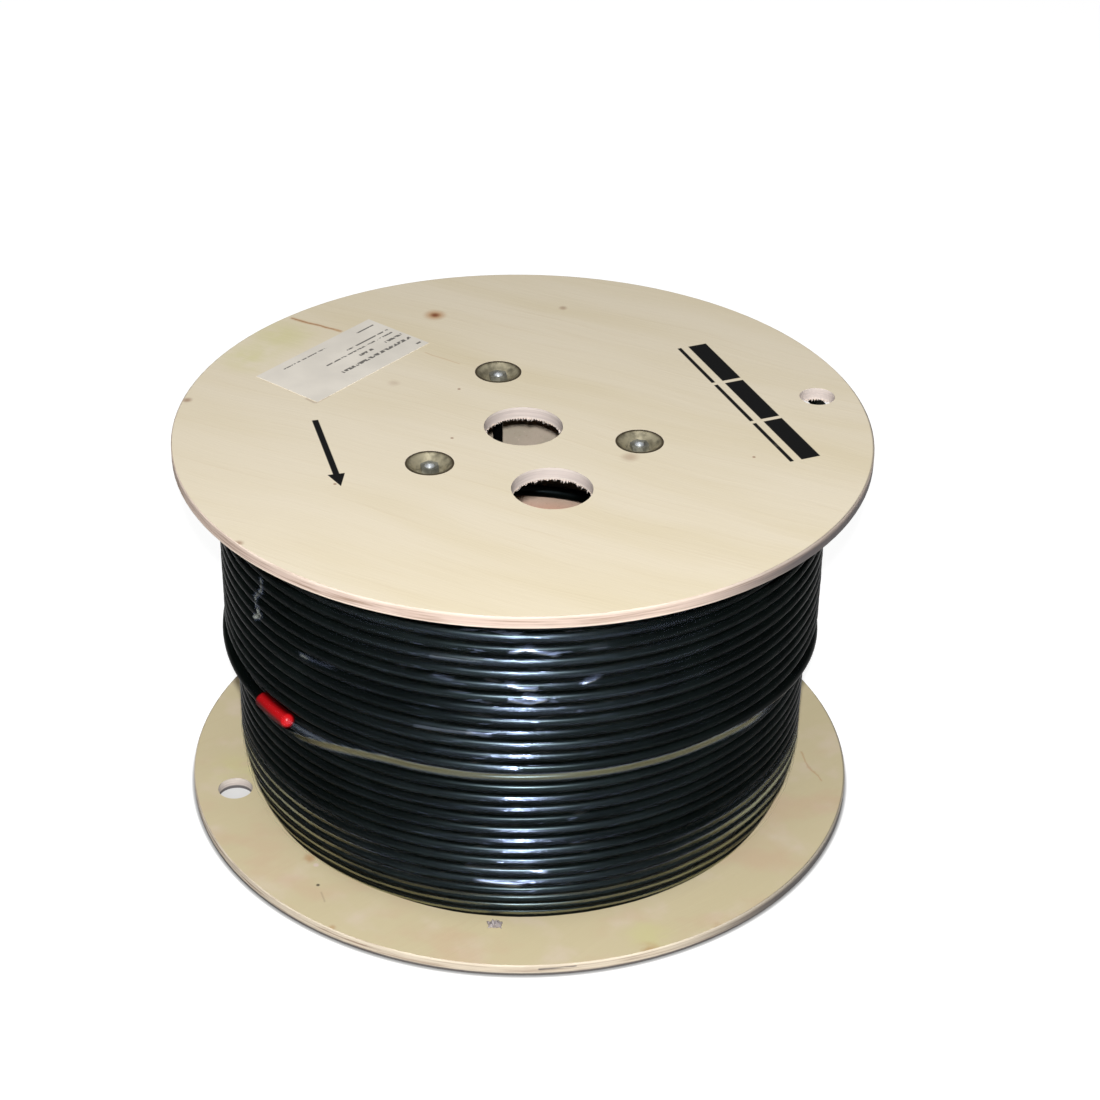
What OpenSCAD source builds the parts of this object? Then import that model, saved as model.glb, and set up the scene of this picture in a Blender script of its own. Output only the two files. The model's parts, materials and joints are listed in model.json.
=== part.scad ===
// Plywood cable drum, wound full and standing on its lower flange.
// Millimetres. The origin is the centre of the lower face, and the drum's axis is +Z.

/* [Flanges] */
// Diameter of each plywood flange
flange_d = 406; // [380:1:460]
// Thickness of each flange
flange_t = 7.5; // [6.5:0.5:12]
// Width of the softened edge round each rim
rim_arris = 0.6; // [0.2:0.1:1.5]
// Diameter of the arbor hole in the middle
arbor_d = 46; // [30:1:60]
// Diameter of the drive hole beside the arbor hole
drive_d = 46; // [25:1:50]
// Wood left between the drive hole and the barrel's inner wall
drive_land = 1.5; // [1:0.5:6]
// Diameter of the hole near the rim, where a cable end can be tied
rim_hole_d = 21; // [12:1:26]
// Distance from the rim to the centre of that hole
rim_hole_inset = 24; // [18:1:30]

/* [Barrel] */
// Distance between the flanges
traverse = 226; // [180:1:280]
// Outside diameter of the barrel
barrel_d = 203; // [190:1:215]
// Wall thickness of the barrel
barrel_wall = 4; // [3:0.5:6]
// Depth of the groove that holds each end of the barrel
seat_depth = 2.5; // [1.5:0.5:4]
// Clearance between the barrel and the sides of its grooves
seat_gap = 0.1; // [0.05:0.05:0.3]

/* [Tie bolts] */
// Distance from the barrel's inner wall to each bolt's axis
bolt_inset = 28.5; // [24:0.5:36]
// Direction of the first bolt, in degrees from +X
bolt_angle = 103; // [0:1:119]
// Angle from the first bolt to each of the other two, which leave room for the drive hole
bolt_spread = 117; // [110:1:125]
// Diameter of the bolts
bolt_d = 6; // [5:0.5:7]
// Clearance round each bolt in its cup washers and nut
bolt_gap = 0.2; // [0.1:0.05:0.4]
// Width of the nuts and bolt heads across their flats
nut_af = 10; // [9:0.5:12]
// Height of the thin nuts
nut_h = 3.2; // [2.5:0.1:4]
// Height of the bolt heads
head_h = 4; // [3:0.1:4.2]
// How far each bolt stands out of its nut
bolt_proud = 1.1; // [0.5:0.1:2]
// Height of the rounded tip of each bolt
bolt_crown = 1; // [0.5:0.1:1.5]

/* [Cup washers] */
// Sheet thickness of the dished washers
cup_t = 1.2; // [0.8:0.1:1.6]
// Room for a socket between a nut's corners and the cup's wall
cup_room = 1.7; // [1:0.1:3]
// How far the bolt ends lie below the flange's face
cup_recess = 0.5; // [0.2:0.1:1]
// Clearance between a cup and its seat in the wood
cup_gap = 0.1; // [0.05:0.05:0.3]

/* [Cable] */
// Diameter of the cable
cable_d = 7; // [6:0.1:9]
// Height that each layer adds, as a share of the cable's diameter, because turns nest
layer_nest = 0.9; // [0.87:0.01:1]
// Spacing of turns in the full layers, as a share of the cable's diameter
turn_slack = 1.04; // [1.02:0.01:1.1]
// Spacing of turns in the last layer, which is wound more loosely
part_slack = 1.115; // [1.02:0.005:1.15]
// Depth of flange left bare outside the winding
freeboard = 25; // [22:1:40]
// Share of the width that the last layer covers
part_share = 0.49; // [0.3:0.01:0.7]
// Clearance between the winding and the barrel, and between lapped turns
wind_gap = 0.2; // [0.1:0.05:0.4]
// Number of turns that sink inwards at the foot of the winding
foot_turns = 5; // [3:1:7]
// How far the lowest turn sinks
foot_sink = 9; // [4:0.5:12]

/* [Cable ends] */
// Height of the loop of cable inside the barrel, above the lower face
inner_end_z = 143; // [60:1:190]
// Direction at which the inner end enters through the barrel wall
inner_end_angle = 185; // [150:1:200]
// Length of the loop inside the barrel, in degrees
inner_end_sweep = 200; // [120:5:300]
// Direction of the tip of the outer cable end
outer_end_angle = 223; // [0:1:359]
// Length of the outer cable end that has left the winding, in degrees
outer_end_sweep = 170; // [60:5:175]
// Drop from the last tight turn to the tip of the outer end
outer_end_drop = 10.5; // [9.5:0.5:26]
// Outside diameter of the cap on the outer end
cap_d = 9.5; // [8.5:0.1:11]
// Length of the cap
cap_len = 30; // [20:1:45]
// Thickness of the cap's closed end, beyond its dome
cap_floor = 1.5; // [1:0.1:4]
// Clearance between the cable and the inside of the cap
cap_gap = 0.1; // [0.05:0.05:0.3]

/* [Film] */
// Thickness of the wound film
film_t = 0.25; // [0.2:0.05:0.6]
// Clearance between the film and the turns under it
film_gap = 0.5; // [0.4:0.05:0.8]
// Height of the slanting skirt of film under the outer cable end
skirt_h = 20; // [10:1:30]

/* [Label] */
// Length of the paper label
label_len = 100; // [60:1:110]
// Width of the label
label_w = 50; // [30:1:55]
// Thickness of the label
label_t = 0.2; // [0.1:0.05:0.4]
// Distance from the flange's rim to the middle of the label
label_inset = 67; // [63:1:73]
// Direction of the middle of the label
label_angle = 143.5; // [140:0.5:150]
// Direction of the label's long side
label_turn = 51; // [0:1:179]

/* [Hidden] */
$fn = 96;
cut = 1;

plywood = [0.90, 0.83, 0.70];
fibreboard = [0.62, 0.57, 0.50];
zinc = [0.66, 0.64, 0.55];
jacket = [0.07, 0.08, 0.08];
red_plastic = [0.70, 0.06, 0.05];
clear_film = [0.80, 0.85, 0.88, 0.25];
paper = [0.88, 0.86, 0.83];

// Flanges and barrel
height = traverse + 2 * flange_t;
flange_r = flange_d / 2;
arbor_r = arbor_d / 2;
barrel_r = barrel_d / 2;
barrel_inner_r = barrel_r - barrel_wall;
drive_angle = bolt_angle + 180;
drive_circle_r = barrel_inner_r - drive_land - drive_d / 2;
rim_hole_angle = bolt_angle + 90;
rim_hole_r = flange_r - rim_hole_inset;

// Tie bolts and their cups: a cup is a 45 degree cone with a flat floor
bolt_angles = [bolt_angle, bolt_angle + bolt_spread, bolt_angle - bolt_spread];
bolt_circle_r = barrel_inner_r - bolt_inset;
nut_corner_r = nut_af / 2 / cos(30);
cup_depth = max(nut_h + bolt_proud, head_h) + cup_recess;
cup_floor_r = nut_corner_r + cup_room;
cup_inner_r = cup_floor_r + cup_depth;
cup_r = cup_inner_r + cup_t * sqrt(2);
cup_foot_r = cup_r - cup_depth - cup_t;
bolt_hole_r = bolt_d / 2 + bolt_gap;
crown_r = (pow(bolt_d / 2, 2) + pow(bolt_crown, 2)) / (2 * bolt_crown);

// Winding: full layers of turns, then a part layer that starts at the upper flange
cable_r = cable_d / 2;
layer_step = cable_d * layer_nest;
full_layers = floor((flange_r - freeboard - barrel_r - cable_d) / layer_step);
turns = floor(traverse / (cable_d * turn_slack));
pitch = traverse / turns;
part_pitch = cable_d * part_slack;
part_turns = floor(traverse * part_share / part_pitch);
bore_r = barrel_r + wind_gap;
layer_r = bore_r + cable_r + wind_gap;
full_r = layer_r + (full_layers - 1) * layer_step;
part_r = full_r + layer_step;
full_crest_r = full_r + cable_r;
first_z = flange_t + pitch / 2;
last_z = height - flange_t - pitch / 2;
step_z = height - flange_t - part_turns * part_pitch;
function sink(i) = i < foot_turns ? foot_sink * pow((foot_turns - i) / foot_turns, 2) : 0;
full_turns = [
    for (i = [0 : turns - 1])
        let (z = first_z + i * pitch)
        if (z < step_z - pitch / 4) [full_r - sink(i), z]
];
part_layer = [for (i = [part_turns : -1 : 1]) [part_r, height - flange_t - i * part_pitch]];
outer_turns = concat(full_turns, part_layer, [[full_r, last_z]]);
foot_layers = [
    for (i = [0 : full_layers - 2])
        if (layer_r + (i + 0.8) * layer_step < outer_turns[0][0]) [layer_r + i * layer_step, first_z]
];
head_layers = [for (i = [0 : full_layers - 2]) [layer_r + i * layer_step, last_z]];

// Outer cable end: half a turn that dips from under the part layer to its cap
end_low_r = full_crest_r + wind_gap + cable_r;
end_high_r = full_crest_r + wind_gap + cap_d / 2;
end_r = (end_low_r + end_high_r) / 2;
end_lift = (end_high_r - end_low_r) / 2;
end_top_z = step_z - pitch;
end_tip_z = step_z - outer_end_drop;
end_mid_z = (end_top_z + end_tip_z) / 2;
end_tilt = asin((end_top_z - end_mid_z) / end_r);
function end_deg(length) = length / end_r * 180 / PI;
cap_dome_deg = end_deg(cap_d / 2);
cap_floor_deg = end_deg(cap_d / 2 + cap_floor);
cap_deg = end_deg(cap_len);

// Film: it follows the crests of the turns and hangs clear of the capped cable end
film_end_r = end_high_r + cap_d / 2 + film_gap;
skirt_top_z = end_tip_z - cap_d / 2;
skirt_foot_z = skirt_top_z - skirt_h;
film_lift = cable_r + film_gap;
film_line = concat(
    [for (turn = full_turns) if (turn[1] < skirt_foot_z) [turn[0] + film_lift, turn[1]]],
    [[full_r + film_lift, skirt_foot_z]],
    [[film_end_r, skirt_top_z]],
    [[film_end_r, end_top_z]],
    [[part_r + film_lift, step_z]],
    [[part_r + film_lift, height - flange_t - part_pitch]]
);

// Inner cable end: a loop against the barrel's inner wall
inner_r = barrel_inner_r - wind_gap - cable_r;

// Places something at each direction on a circle round the drum's axis
module at_angle(angle, radius) {
    rotate([0, 0, angle])
        translate([radius, 0, 0])
            children();
}

// A plywood flange with its outer face at z = 0 and its groove facing up
module flange(rim_angle) {
    groove_floor = flange_t - seat_depth;
    groove_inner_r = barrel_inner_r - seat_gap;
    groove_outer_r = barrel_r + seat_gap;
    difference() {
        rotate_extrude()
            polygon([
                [arbor_r, 0],
                [flange_r - rim_arris, 0],
                [flange_r, rim_arris],
                [flange_r, flange_t - rim_arris],
                [flange_r - rim_arris, flange_t],
                [groove_outer_r, flange_t],
                [groove_outer_r, groove_floor],
                [groove_inner_r, groove_floor],
                [groove_inner_r, flange_t],
                [arbor_r, flange_t]
            ]);
        at_angle(drive_angle, drive_circle_r)
            translate([0, 0, -cut])
                cylinder(d = drive_d, h = flange_t + 2 * cut);
        at_angle(rim_angle, rim_hole_r)
            translate([0, 0, -cut])
                cylinder(d = rim_hole_d, h = flange_t + 2 * cut);
        for (angle = bolt_angles)
            at_angle(angle, bolt_circle_r)
                cup_seat();
    }
}

// The cone through a flange that a cup washer sits in
module cup_seat() {
    top_r = cup_r + cup_gap + cut;
    foot_r = max(cup_r + cup_gap - flange_t - cut, bolt_hole_r);
    depth = top_r - foot_r;
    translate([0, 0, -cut])
        cylinder(r1 = top_r, r2 = foot_r, h = depth);
    translate([0, 0, -cut])
        cylinder(r = foot_r, h = flange_t + 2 * cut);
}

module bottom_flange() {
    color(plywood)
        flange(rim_hole_angle);
}

module top_flange() {
    color(plywood)
        translate([0, 0, height])
            mirror([0, 0, 1])
                flange(rim_hole_angle + 180);
}

module barrel() {
    length = traverse + 2 * seat_depth;
    color(fibreboard)
        difference() {
            translate([0, 0, flange_t - seat_depth])
                cylinder(r = barrel_r, h = length);
            translate([0, 0, flange_t - seat_depth - cut])
                cylinder(r = barrel_inner_r, h = length + 2 * cut);
            inner_end_lead(cable_d + 2 * wind_gap, 2 * barrel_r);
        }
}

// The straight stretch of the inner end, which slants out through the barrel wall
module inner_end_lead(diameter, length) {
    rotate([0, 0, inner_end_angle])
        translate([inner_r, 0, inner_end_z])
            rotate([-90, 0, 0])
                cylinder(d = diameter, h = length);
}

module tie_bolt(i) {
    shank_end = height - cup_recess - bolt_crown;
    color(zinc)
        at_angle(bolt_angles[i], bolt_circle_r) {
            translate([0, 0, cup_depth - head_h])
                cylinder(r = nut_corner_r, h = head_h, $fn = 6);
            translate([0, 0, cup_depth - head_h / 2])
                cylinder(d = bolt_d, h = shank_end - cup_depth + head_h / 2);
            translate([0, 0, shank_end])
                bolt_tip();
        }
}

// The rounded tip of a bolt, with a root that enters the shank
module bolt_tip() {
    root = bolt_crown / 2;
    rotate_extrude() {
        intersection() {
            translate([0, bolt_crown - crown_r])
                circle(r = crown_r);
            square([bolt_d / 2, bolt_crown]);
        }
        translate([0, -root])
            square([bolt_d / 2 - root, 2 * root]);
    }
}

module tie_nut(i) {
    color(zinc)
        at_angle(bolt_angles[i], bolt_circle_r)
            translate([0, 0, height - cup_depth])
                difference() {
                    cylinder(r = nut_corner_r, h = nut_h, $fn = 6);
                    translate([0, 0, -cut])
                        cylinder(r = bolt_hole_r, h = nut_h + 2 * cut);
                }
}

// A dished washer with its rim at z = 0 and its floor above
module cup_washer() {
    rotate_extrude()
        polygon([
            [cup_r, 0],
            [cup_foot_r, cup_depth + cup_t],
            [bolt_hole_r, cup_depth + cup_t],
            [bolt_hole_r, cup_depth],
            [cup_floor_r, cup_depth],
            [cup_inner_r, 0]
        ]);
}

module cup_washer_bottom(i) {
    color(zinc)
        at_angle(bolt_angles[i], bolt_circle_r)
            cup_washer();
}

module cup_washer_top(i) {
    color(zinc)
        at_angle(bolt_angles[i], bolt_circle_r)
            translate([0, 0, height])
                mirror([0, 0, 1])
                    cup_washer();
}

// The wound cable: a core through the centres of the outside turns, and the turns themselves
module cable_winding() {
    color(jacket)
        rotate_extrude() {
            polygon(concat([[bore_r, first_z]], outer_turns, [[bore_r, last_z]]));
            for (turn = concat(foot_layers, outer_turns, head_layers))
                translate(turn)
                    circle(d = cable_d);
        }
}

module cable_inner_end() {
    color(jacket)
        intersection() {
            union() {
                rotate([0, 0, inner_end_angle])
                    translate([0, 0, inner_end_z])
                        rotate_extrude(angle = -inner_end_sweep)
                            translate([inner_r, 0])
                                circle(d = cable_d);
                inner_end_lead(cable_d, barrel_r);
            }
            cylinder(r = barrel_r, h = height);
        }
}

// The frame of the outer cable end: its tip lies on +X, and it comes from behind
module outer_end_frame() {
    rotate([0, 0, outer_end_angle])
        translate([end_lift, 0, end_mid_z])
            rotate([0, end_tilt, 0])
                children();
}

// A bent round bar in that frame, between two angles behind the tip
module end_bar(radius, from_deg, to_deg) {
    rotate([0, 0, -from_deg])
        rotate_extrude(angle = from_deg - to_deg)
            translate([end_r, 0])
                circle(r = radius);
}

// The half ball that closes such a bar towards the tip, with a root that enters the bar
module end_dome(radius, deg, root) {
    rotate([0, 0, -deg])
        translate([end_r, 0, 0])
            rotate([-90, 0, 0])
                rotate_extrude() {
                    intersection() {
                        circle(r = radius);
                        square(radius);
                    }
                    translate([0, -root])
                        square([radius - root, 2 * root]);
                }
}

module cable_outer_end() {
    color(jacket)
        outer_end_frame()
            end_bar(cable_r, outer_end_sweep, cap_floor_deg);
}

module cable_end_cap() {
    color(red_plastic)
        outer_end_frame()
            difference() {
                union() {
                    end_bar(cap_d / 2, cap_deg, cap_dome_deg);
                    end_dome(cap_d / 2, cap_dome_deg, cap_floor / 2);
                }
                end_bar(cable_r + cap_gap, cap_deg + cap_dome_deg, cap_floor_deg - end_deg(cap_gap));
            }
}

// A solid of the film's shape, grown by a given amount, with its ends past the film's edges
module film_body(grow, past) {
    line_end = film_line[len(film_line) - 1];
    rotate_extrude()
        polygon(concat(
            [[bore_r, film_line[0][1] - past]],
            [[film_line[0][0] + grow, film_line[0][1] - past]],
            [for (point = film_line) [point[0] + grow, point[1]]],
            [[line_end[0] + grow, line_end[1] + past]],
            [[bore_r, line_end[1] + past]]
        ));
}

module film_wrap() {
    color(clear_film)
        difference() {
            film_body(film_t, 0);
            film_body(0, cut);
            cylinder(r = bore_r + cut, h = height);
        }
}

module paper_label() {
    color(paper)
        at_angle(label_angle, flange_r - label_inset)
            rotate([0, 0, label_turn - label_angle])
                translate([-label_len / 2, -label_w / 2, height])
                    cube([label_len, label_w, label_t]);
}

bottom_flange();
top_flange();
barrel();
cable_winding();
cable_inner_end();
cable_outer_end();
cable_end_cap();
film_wrap();
paper_label();
for (i = [0 : len(bolt_angles) - 1]) {
    tie_bolt(i);
    tie_nut(i);
    cup_washer_top(i);
    cup_washer_bottom(i);
}
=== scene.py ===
"""Looks of a plywood cable drum: veneer, wound cable, stretch film, steel, label and stage."""

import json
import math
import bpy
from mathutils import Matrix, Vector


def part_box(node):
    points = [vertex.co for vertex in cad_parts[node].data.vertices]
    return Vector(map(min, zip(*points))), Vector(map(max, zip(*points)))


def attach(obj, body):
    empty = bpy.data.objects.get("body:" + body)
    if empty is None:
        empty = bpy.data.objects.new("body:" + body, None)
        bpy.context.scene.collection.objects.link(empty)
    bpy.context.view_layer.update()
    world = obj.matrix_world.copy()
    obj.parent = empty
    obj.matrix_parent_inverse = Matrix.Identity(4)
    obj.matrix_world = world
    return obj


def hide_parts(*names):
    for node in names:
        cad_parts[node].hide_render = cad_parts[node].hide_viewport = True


bl_info = {
    "name": "Plywood cable drum",
    "version": (1, 0, 0),
    "blender": (4, 5, 0),
    "location": "View3D > Sidebar > Cable drum",
    "description": "Dresses a plywood cable drum with wood, cable, film, steel and a label",
    "category": "Object",
}

import bpy
from bpy.props import FloatProperty, FloatVectorProperty, IntProperty, PointerProperty
from mathutils import Matrix, Vector, noise

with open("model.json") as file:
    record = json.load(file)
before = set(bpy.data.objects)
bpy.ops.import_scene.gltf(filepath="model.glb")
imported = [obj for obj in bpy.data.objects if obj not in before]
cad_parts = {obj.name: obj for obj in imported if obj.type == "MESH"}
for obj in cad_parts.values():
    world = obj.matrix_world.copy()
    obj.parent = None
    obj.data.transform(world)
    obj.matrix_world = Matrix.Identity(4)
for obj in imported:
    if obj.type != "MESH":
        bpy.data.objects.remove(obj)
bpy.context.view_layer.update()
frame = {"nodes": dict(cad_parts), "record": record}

MM = 0.001
FULL_TURN = 2 * math.pi

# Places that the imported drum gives
FACE_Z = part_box("top_flange")[1].z
RIM_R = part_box("top_flange")[1].x
FLANGE_T = FACE_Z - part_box("top_flange")[0].z
INNER_TOP_Z = FACE_Z - FLANGE_T
CUP_R = (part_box("cup_washer_top_1")[1].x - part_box("cup_washer_top_1")[0].x) / 2
BOLT_AXES = [sum(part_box(f"tie_bolt_{i}"), Vector()) / 2 for i in (1, 2, 3)]
BORES = {
    mount["name"]: mount for mount in frame["record"]["mounts"] if mount["kind"] == "bore"
}


def tint(code):
    """A colour that Blender mixes with, from the six digits of a screen colour."""
    shares = [int(code[i:i + 2], 16) / 255 for i in (0, 2, 4)]
    return tuple(s / 12.92 if s <= 0.04045 else ((s + 0.055) / 1.055) ** 2.4 for s in shares)


def opaque(colour):
    return (*colour, 1.0)


def length(name, description, default):
    return FloatProperty(name=name, description=description, default=default, subtype="DISTANCE", unit="LENGTH")


def angle(name, description, degrees):
    return FloatProperty(name=name, description=description, default=math.radians(degrees), subtype="ANGLE")


def colour(name, description, code):
    return FloatVectorProperty(
        name=name, description=description, default=tint(code), subtype="COLOR", min=0, max=1)


def number(name, description, default):
    return FloatProperty(name=name, description=description, default=default)


def count(name, description, default):
    return IntProperty(name=name, description=description, default=default, min=1)


def watts(name, description, default):
    return FloatProperty(name=name, description=description, default=default, unit="POWER")


class DRUM_PG_wood(bpy.types.PropertyGroup):
    """Veneer, plies and print of the flanges, and the barrel's board."""

    face: colour("Face", "Pale veneer", "EFE3CB")
    low_face: colour("Lower face", "Veneer of the lower flange", "DCCEA8")
    warm: colour("Warm figure", "Warmer bands of the veneer", "E3D4B0")
    streak: colour("Streak", "Darker grain lines", "CDB68A")
    edge: colour("Outer ply", "Cut edge of the outer plies", "EBD8C8")
    core: colour("Core ply", "Cut edge of the inner plies", "D8C2B4")
    low_edge: colour("Lower outer ply", "Cut edge of the lower flange's outer plies", "ECDFC8")
    low_core: colour("Lower core ply", "Cut edge of the lower flange's inner plies", "E2D4BE")
    bore: colour("Bore", "Fresh cut walls of the holes", "E6DEDA")
    scorch: colour("Core streak", "Brown streaks in the cut plies", "9A7F6C")
    # Grime and shade: dark grey used for painted shade on the right of the rims and the upper face's edge, for a
    # painted contact shadow along the lower flange's foot, for darker streaks at the back of the face's edge, and
    # for a dark dash on the lower rim.
    grime_and_shade: colour("Grime", "Dirty grey of the rims", "47454A")
    blush: colour("Blush", "Pinkish clouds in the veneer", "DDBFA0")
    knot: colour("Knot", "Red-brown knots and cracks", "8A5030")
    halo: colour("Knot halo", "Orange veneer round a knot", "C28F5C")
    resin: colour("Resin", "Yellow patches", "DDD79C")
    ink: colour("Ink", "Stencil ink", "050506")
    board: colour("Board", "Fibreboard of the barrel", "B0A594")
    salmon: colour("Lower board", "Reddish lower part of the barrel", "E2B097")
    grain_angle: angle("Grain direction", "Direction of the upper veneer's grain", -27)
    plies: count("Plies", "Plies through a flange", 5)


class DRUM_PG_cable(bpy.types.PropertyGroup):
    """The wound cable and its two ends."""

    jacket: colour("Jacket", "Black jacket", "050807")
    cap: colour("Cap", "Plastic end cap", "C8141A")
    diameter: length("Diameter", "Cable diameter", 7 * MM)
    full_pitch: length("Spacing", "Rise per turn in the full layer", 7.29 * MM)
    part_pitch: length("Outer spacing", "Drop per turn in the part layer", 7.8 * MM)
    full_r: length("Full layer radius", "Drum axis to the cable's middle", 168.4 * MM)
    part_r: length("Part layer radius", "Drum axis to the cable's middle", 174.7 * MM)
    wander: length("Wander", "How far the turns wander to and fro", 0.7 * MM)
    foot_turns: number("Foot turns", "Turns that sink inwards at the foot", 5)
    foot_sink: length("Foot sink", "How far the lowest turn sinks", 9 * MM)
    foot_stray: length("Foot stray", "How far the lowest turns wander", 5 * MM)
    gap_place: number("Gap", "Where the foot turns part, as a share of a turn past the front", 0.158)
    gap_rise: length("Gap rise", "How far the foot turns part", 4 * MM)
    front_angle: angle("Front", "Direction where the last turn leaves the layer", 270)
    leave_z: length("Leaving height", "Height at which the last turn leaves the layer", 124.3 * MM)
    loose_angle: angle("Loose stretch", "Length of the last turn that lies loose", 309)
    drop_start: angle("Drop start", "Where the loose turn begins to drop", 35)
    drop_angle: angle("Dropping stretch", "Length over which the loose turn drops", 60)
    loose_drop: length("Loose drop", "Drop along the loose stretch", 10.5 * MM)
    loose_lift: length("Loose lift", "How far the capped end stands off the layer", 1.9 * MM)
    stray_angle: angle("Stray", "Direction in which the top turn strays outwards", 15.5)
    stray_half: angle("Stray reach", "Half of the stretch that strays", 12.5)
    stray: length("Stray depth", "How far the top turn strays", 9.5 * MM)


class DRUM_PG_film(bpy.types.PropertyGroup):
    """Stretch film round the winding, and a scrap of it on the lower flange."""

    clear: colour("Film", "Tint of the film's gloss", "BED2FF")
    warm: colour("Gathered film", "Tint of the gloss where plies gather", "D8DAB6")
    haze: colour("Crease haze", "Tint of creases that turn away", "EEF4EC")
    scrap: colour("Scrap", "Crumpled bit of film", "BDB4B6")
    scrap_seed: count("Scrap seed", "Fixed seed of the scrap's crumple", 158)
    gap: length("Clearance", "Film to the turns under it", 0.4 * MM)
    wall: length("Thickness", "Thickness of the wound film", 0.08 * MM)
    skirt_front: length("Skirt at the front", "Height of the slanting skirt at the front", 20 * MM)
    skirt_side: length("Skirt at the side", "Height of the slanting skirt at the sides", 27 * MM)
    columns: count("Columns", "Faces round the film", 320)
    rows: count("Rows", "Faces up the film", 150)


class DRUM_PG_trim(bpy.types.PropertyGroup):
    """Steel, label and other small things."""

    zinc: colour("Zinc", "Dull zinc plating of the cups", "BFB69A")
    rim: colour("Cup rim", "Dark rim of the cups", "4E4026")
    nut: colour("Nut", "Plating of the nuts", "A8A698")
    shank: colour("Shank", "Dark steel inside the barrel", "0C0C0D")
    bolt: colour("Bolt", "Bright plating of the bolts", "EDF2F6")
    bolt_crown: length("Bolt crown", "Radius of the rounded bolt tips", 3.4 * MM)
    paper: colour("Paper", "Label stock", "F1EADE")
    print_grey: colour("Ruling", "Ruled lines on the label", "4A4846")
    label_long: length("Label length", "Long side of the label", 100 * MM)
    label_short: length("Label width", "Short side of the label", 50 * MM)
    label_turn: angle("Label direction", "Direction of the label's long side", 51)


class DRUM_PG_stage(bpy.types.PropertyGroup):
    """Camera, lamps and floor."""

    lens: FloatProperty(name="Lens", description="Focal length", default=85.08, unit="CAMERA")
    camera_back: length("Camera distance", "Camera to the drum's axis", 1.3224)
    camera_up: length("Camera height", "Camera above the floor", 0.9715)
    pitch: angle("Pitch", "Downward tilt of the camera", 31.637)
    yaw: angle("Yaw", "Turn of the camera to the right", 0.721)
    roll: angle("Roll", "Roll of the camera", 0.964)
    key_rise: length("Key lamp rise", "Key lamp above the camera", 0.09)
    key_size: length("Key lamp size", "Side of the key lamp", 0.04)
    key_power: watts("Key lamp power", "Power of the key lamp", 27.0)
    overhead_place: FloatVectorProperty(
        name="Overhead lamp", description="Place of the overhead lamp", default=(-0.4, 0.3, 2.6),
        subtype="TRANSLATION", unit="LENGTH")
    overhead_size: length("Overhead lamp size", "Side of the overhead lamp", 2.4)
    overhead_power: watts("Overhead lamp power", "Power of the overhead lamp", 12.0)
    studio_light: number("Studio light", "Strength of the even light from all round", 0.13)
    floor: colour("Floor", "Pale floor", "B4B4B4")
    floor_half: length("Floor reach", "Drum axis to the floor's edges", 6.0)
    floor_glow: number("Floor glow", "How much the floor round the drum shines by itself", 0.85)
    # Painted light: glow of the floor under the drum, seen through the lower flange's holes.
    painted_glow_under_drum: number("Glow under the drum", "The same for the floor seen through holes", 0.3)


class Term:
    """A number in a node tree. Arithmetic on it adds Math nodes to that tree."""

    def __init__(self, tree, socket):
        self.tree = tree
        self.socket = socket

    def calc(self, operation, *others):
        return Term(self.tree, put(self.tree, "ShaderNodeMath", [self, *others], operation=operation).outputs[0])

    def __add__(self, other):
        return self.calc("ADD", other)

    def __sub__(self, other):
        return self.calc("SUBTRACT", other)

    def __rsub__(self, other):
        return self.calc("MULTIPLY", -1.0).calc("ADD", other)

    def __mul__(self, other):
        return self.calc("MULTIPLY", other)

    def __truediv__(self, other):
        return self.calc("DIVIDE", other)

    def __abs__(self):
        return self.calc("ABSOLUTE")

    __radd__ = __add__
    __rmul__ = __mul__

    def least(self, other):
        return self.calc("MINIMUM", other)

    def most(self, other):
        return self.calc("MAXIMUM", other)

    def ramp(self, low, high):
        """0 below low, 1 above high, and smooth between; low may be the larger."""
        values = {"Value": self, "From Min": low, "From Max": high}
        new = put(self.tree, "ShaderNodeMapRange", values, interpolation_type="SMOOTHSTEP")
        return Term(self.tree, new.outputs["Result"])


def put(tree, kind, values=(), **settings):
    """Adds a node with its settings, and its inputs as constants, sockets or terms."""
    new = tree.nodes.new(kind)
    new.location = (180 * (len(tree.nodes) % 24), -260 * (len(tree.nodes) // 24))
    for name, value in settings.items():
        setattr(new, name, value)
    pairs = values.items() if isinstance(values, dict) else enumerate(values)
    for key, value in pairs:
        value = value.socket if isinstance(value, Term) else value
        if isinstance(value, bpy.types.NodeSocket):
            tree.links.new(value, new.inputs[key])
        else:
            new.inputs[key].default_value = value
    return new


def split(tree, vector):
    parts = put(tree, "ShaderNodeSeparateXYZ", [vector])
    return [Term(tree, socket) for socket in parts.outputs]


def join(tree, *parts):
    return put(tree, "ShaderNodeCombineXYZ", parts).outputs[0]


def cloud(tree, vector, detail=2.0, roughness=0.5):
    """Soft noise from 0 to 1 with one blob per unit of the vector."""
    values = {"Vector": vector, "Scale": 1.0, "Detail": detail, "Roughness": roughness}
    return Term(tree, put(tree, "ShaderNodeTexNoise", values).outputs[0])


def stretched(tree, vector, scale, turn=0.0):
    """A vector turned about the axis and scaled, for patterns with a direction."""
    values = {"Vector": vector, "Scale": scale, "Rotation": (0, 0, turn)}
    return put(tree, "ShaderNodeMapping", values).outputs[0]


def paint(mask, under, over):
    """The colour over, laid on the colour under where the mask says; each is a socket or a plain colour."""
    under, over = (
        tone if isinstance(tone, bpy.types.NodeSocket) else opaque(tone) for tone in (under, over))
    new = put(mask.tree, "ShaderNodeMix", {0: mask, 6: under, 7: over}, data_type="RGBA")
    return new.outputs[2]


def spot(x, y, centre, radius, soft=0.5):
    """1 within a round spot, fading out across its soft edge."""
    across = x - centre[0]
    up = y - centre[1]
    return (across * across + up * up).calc("SQRT").ramp(radius * (1 + soft), radius * (1 - soft))


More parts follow.
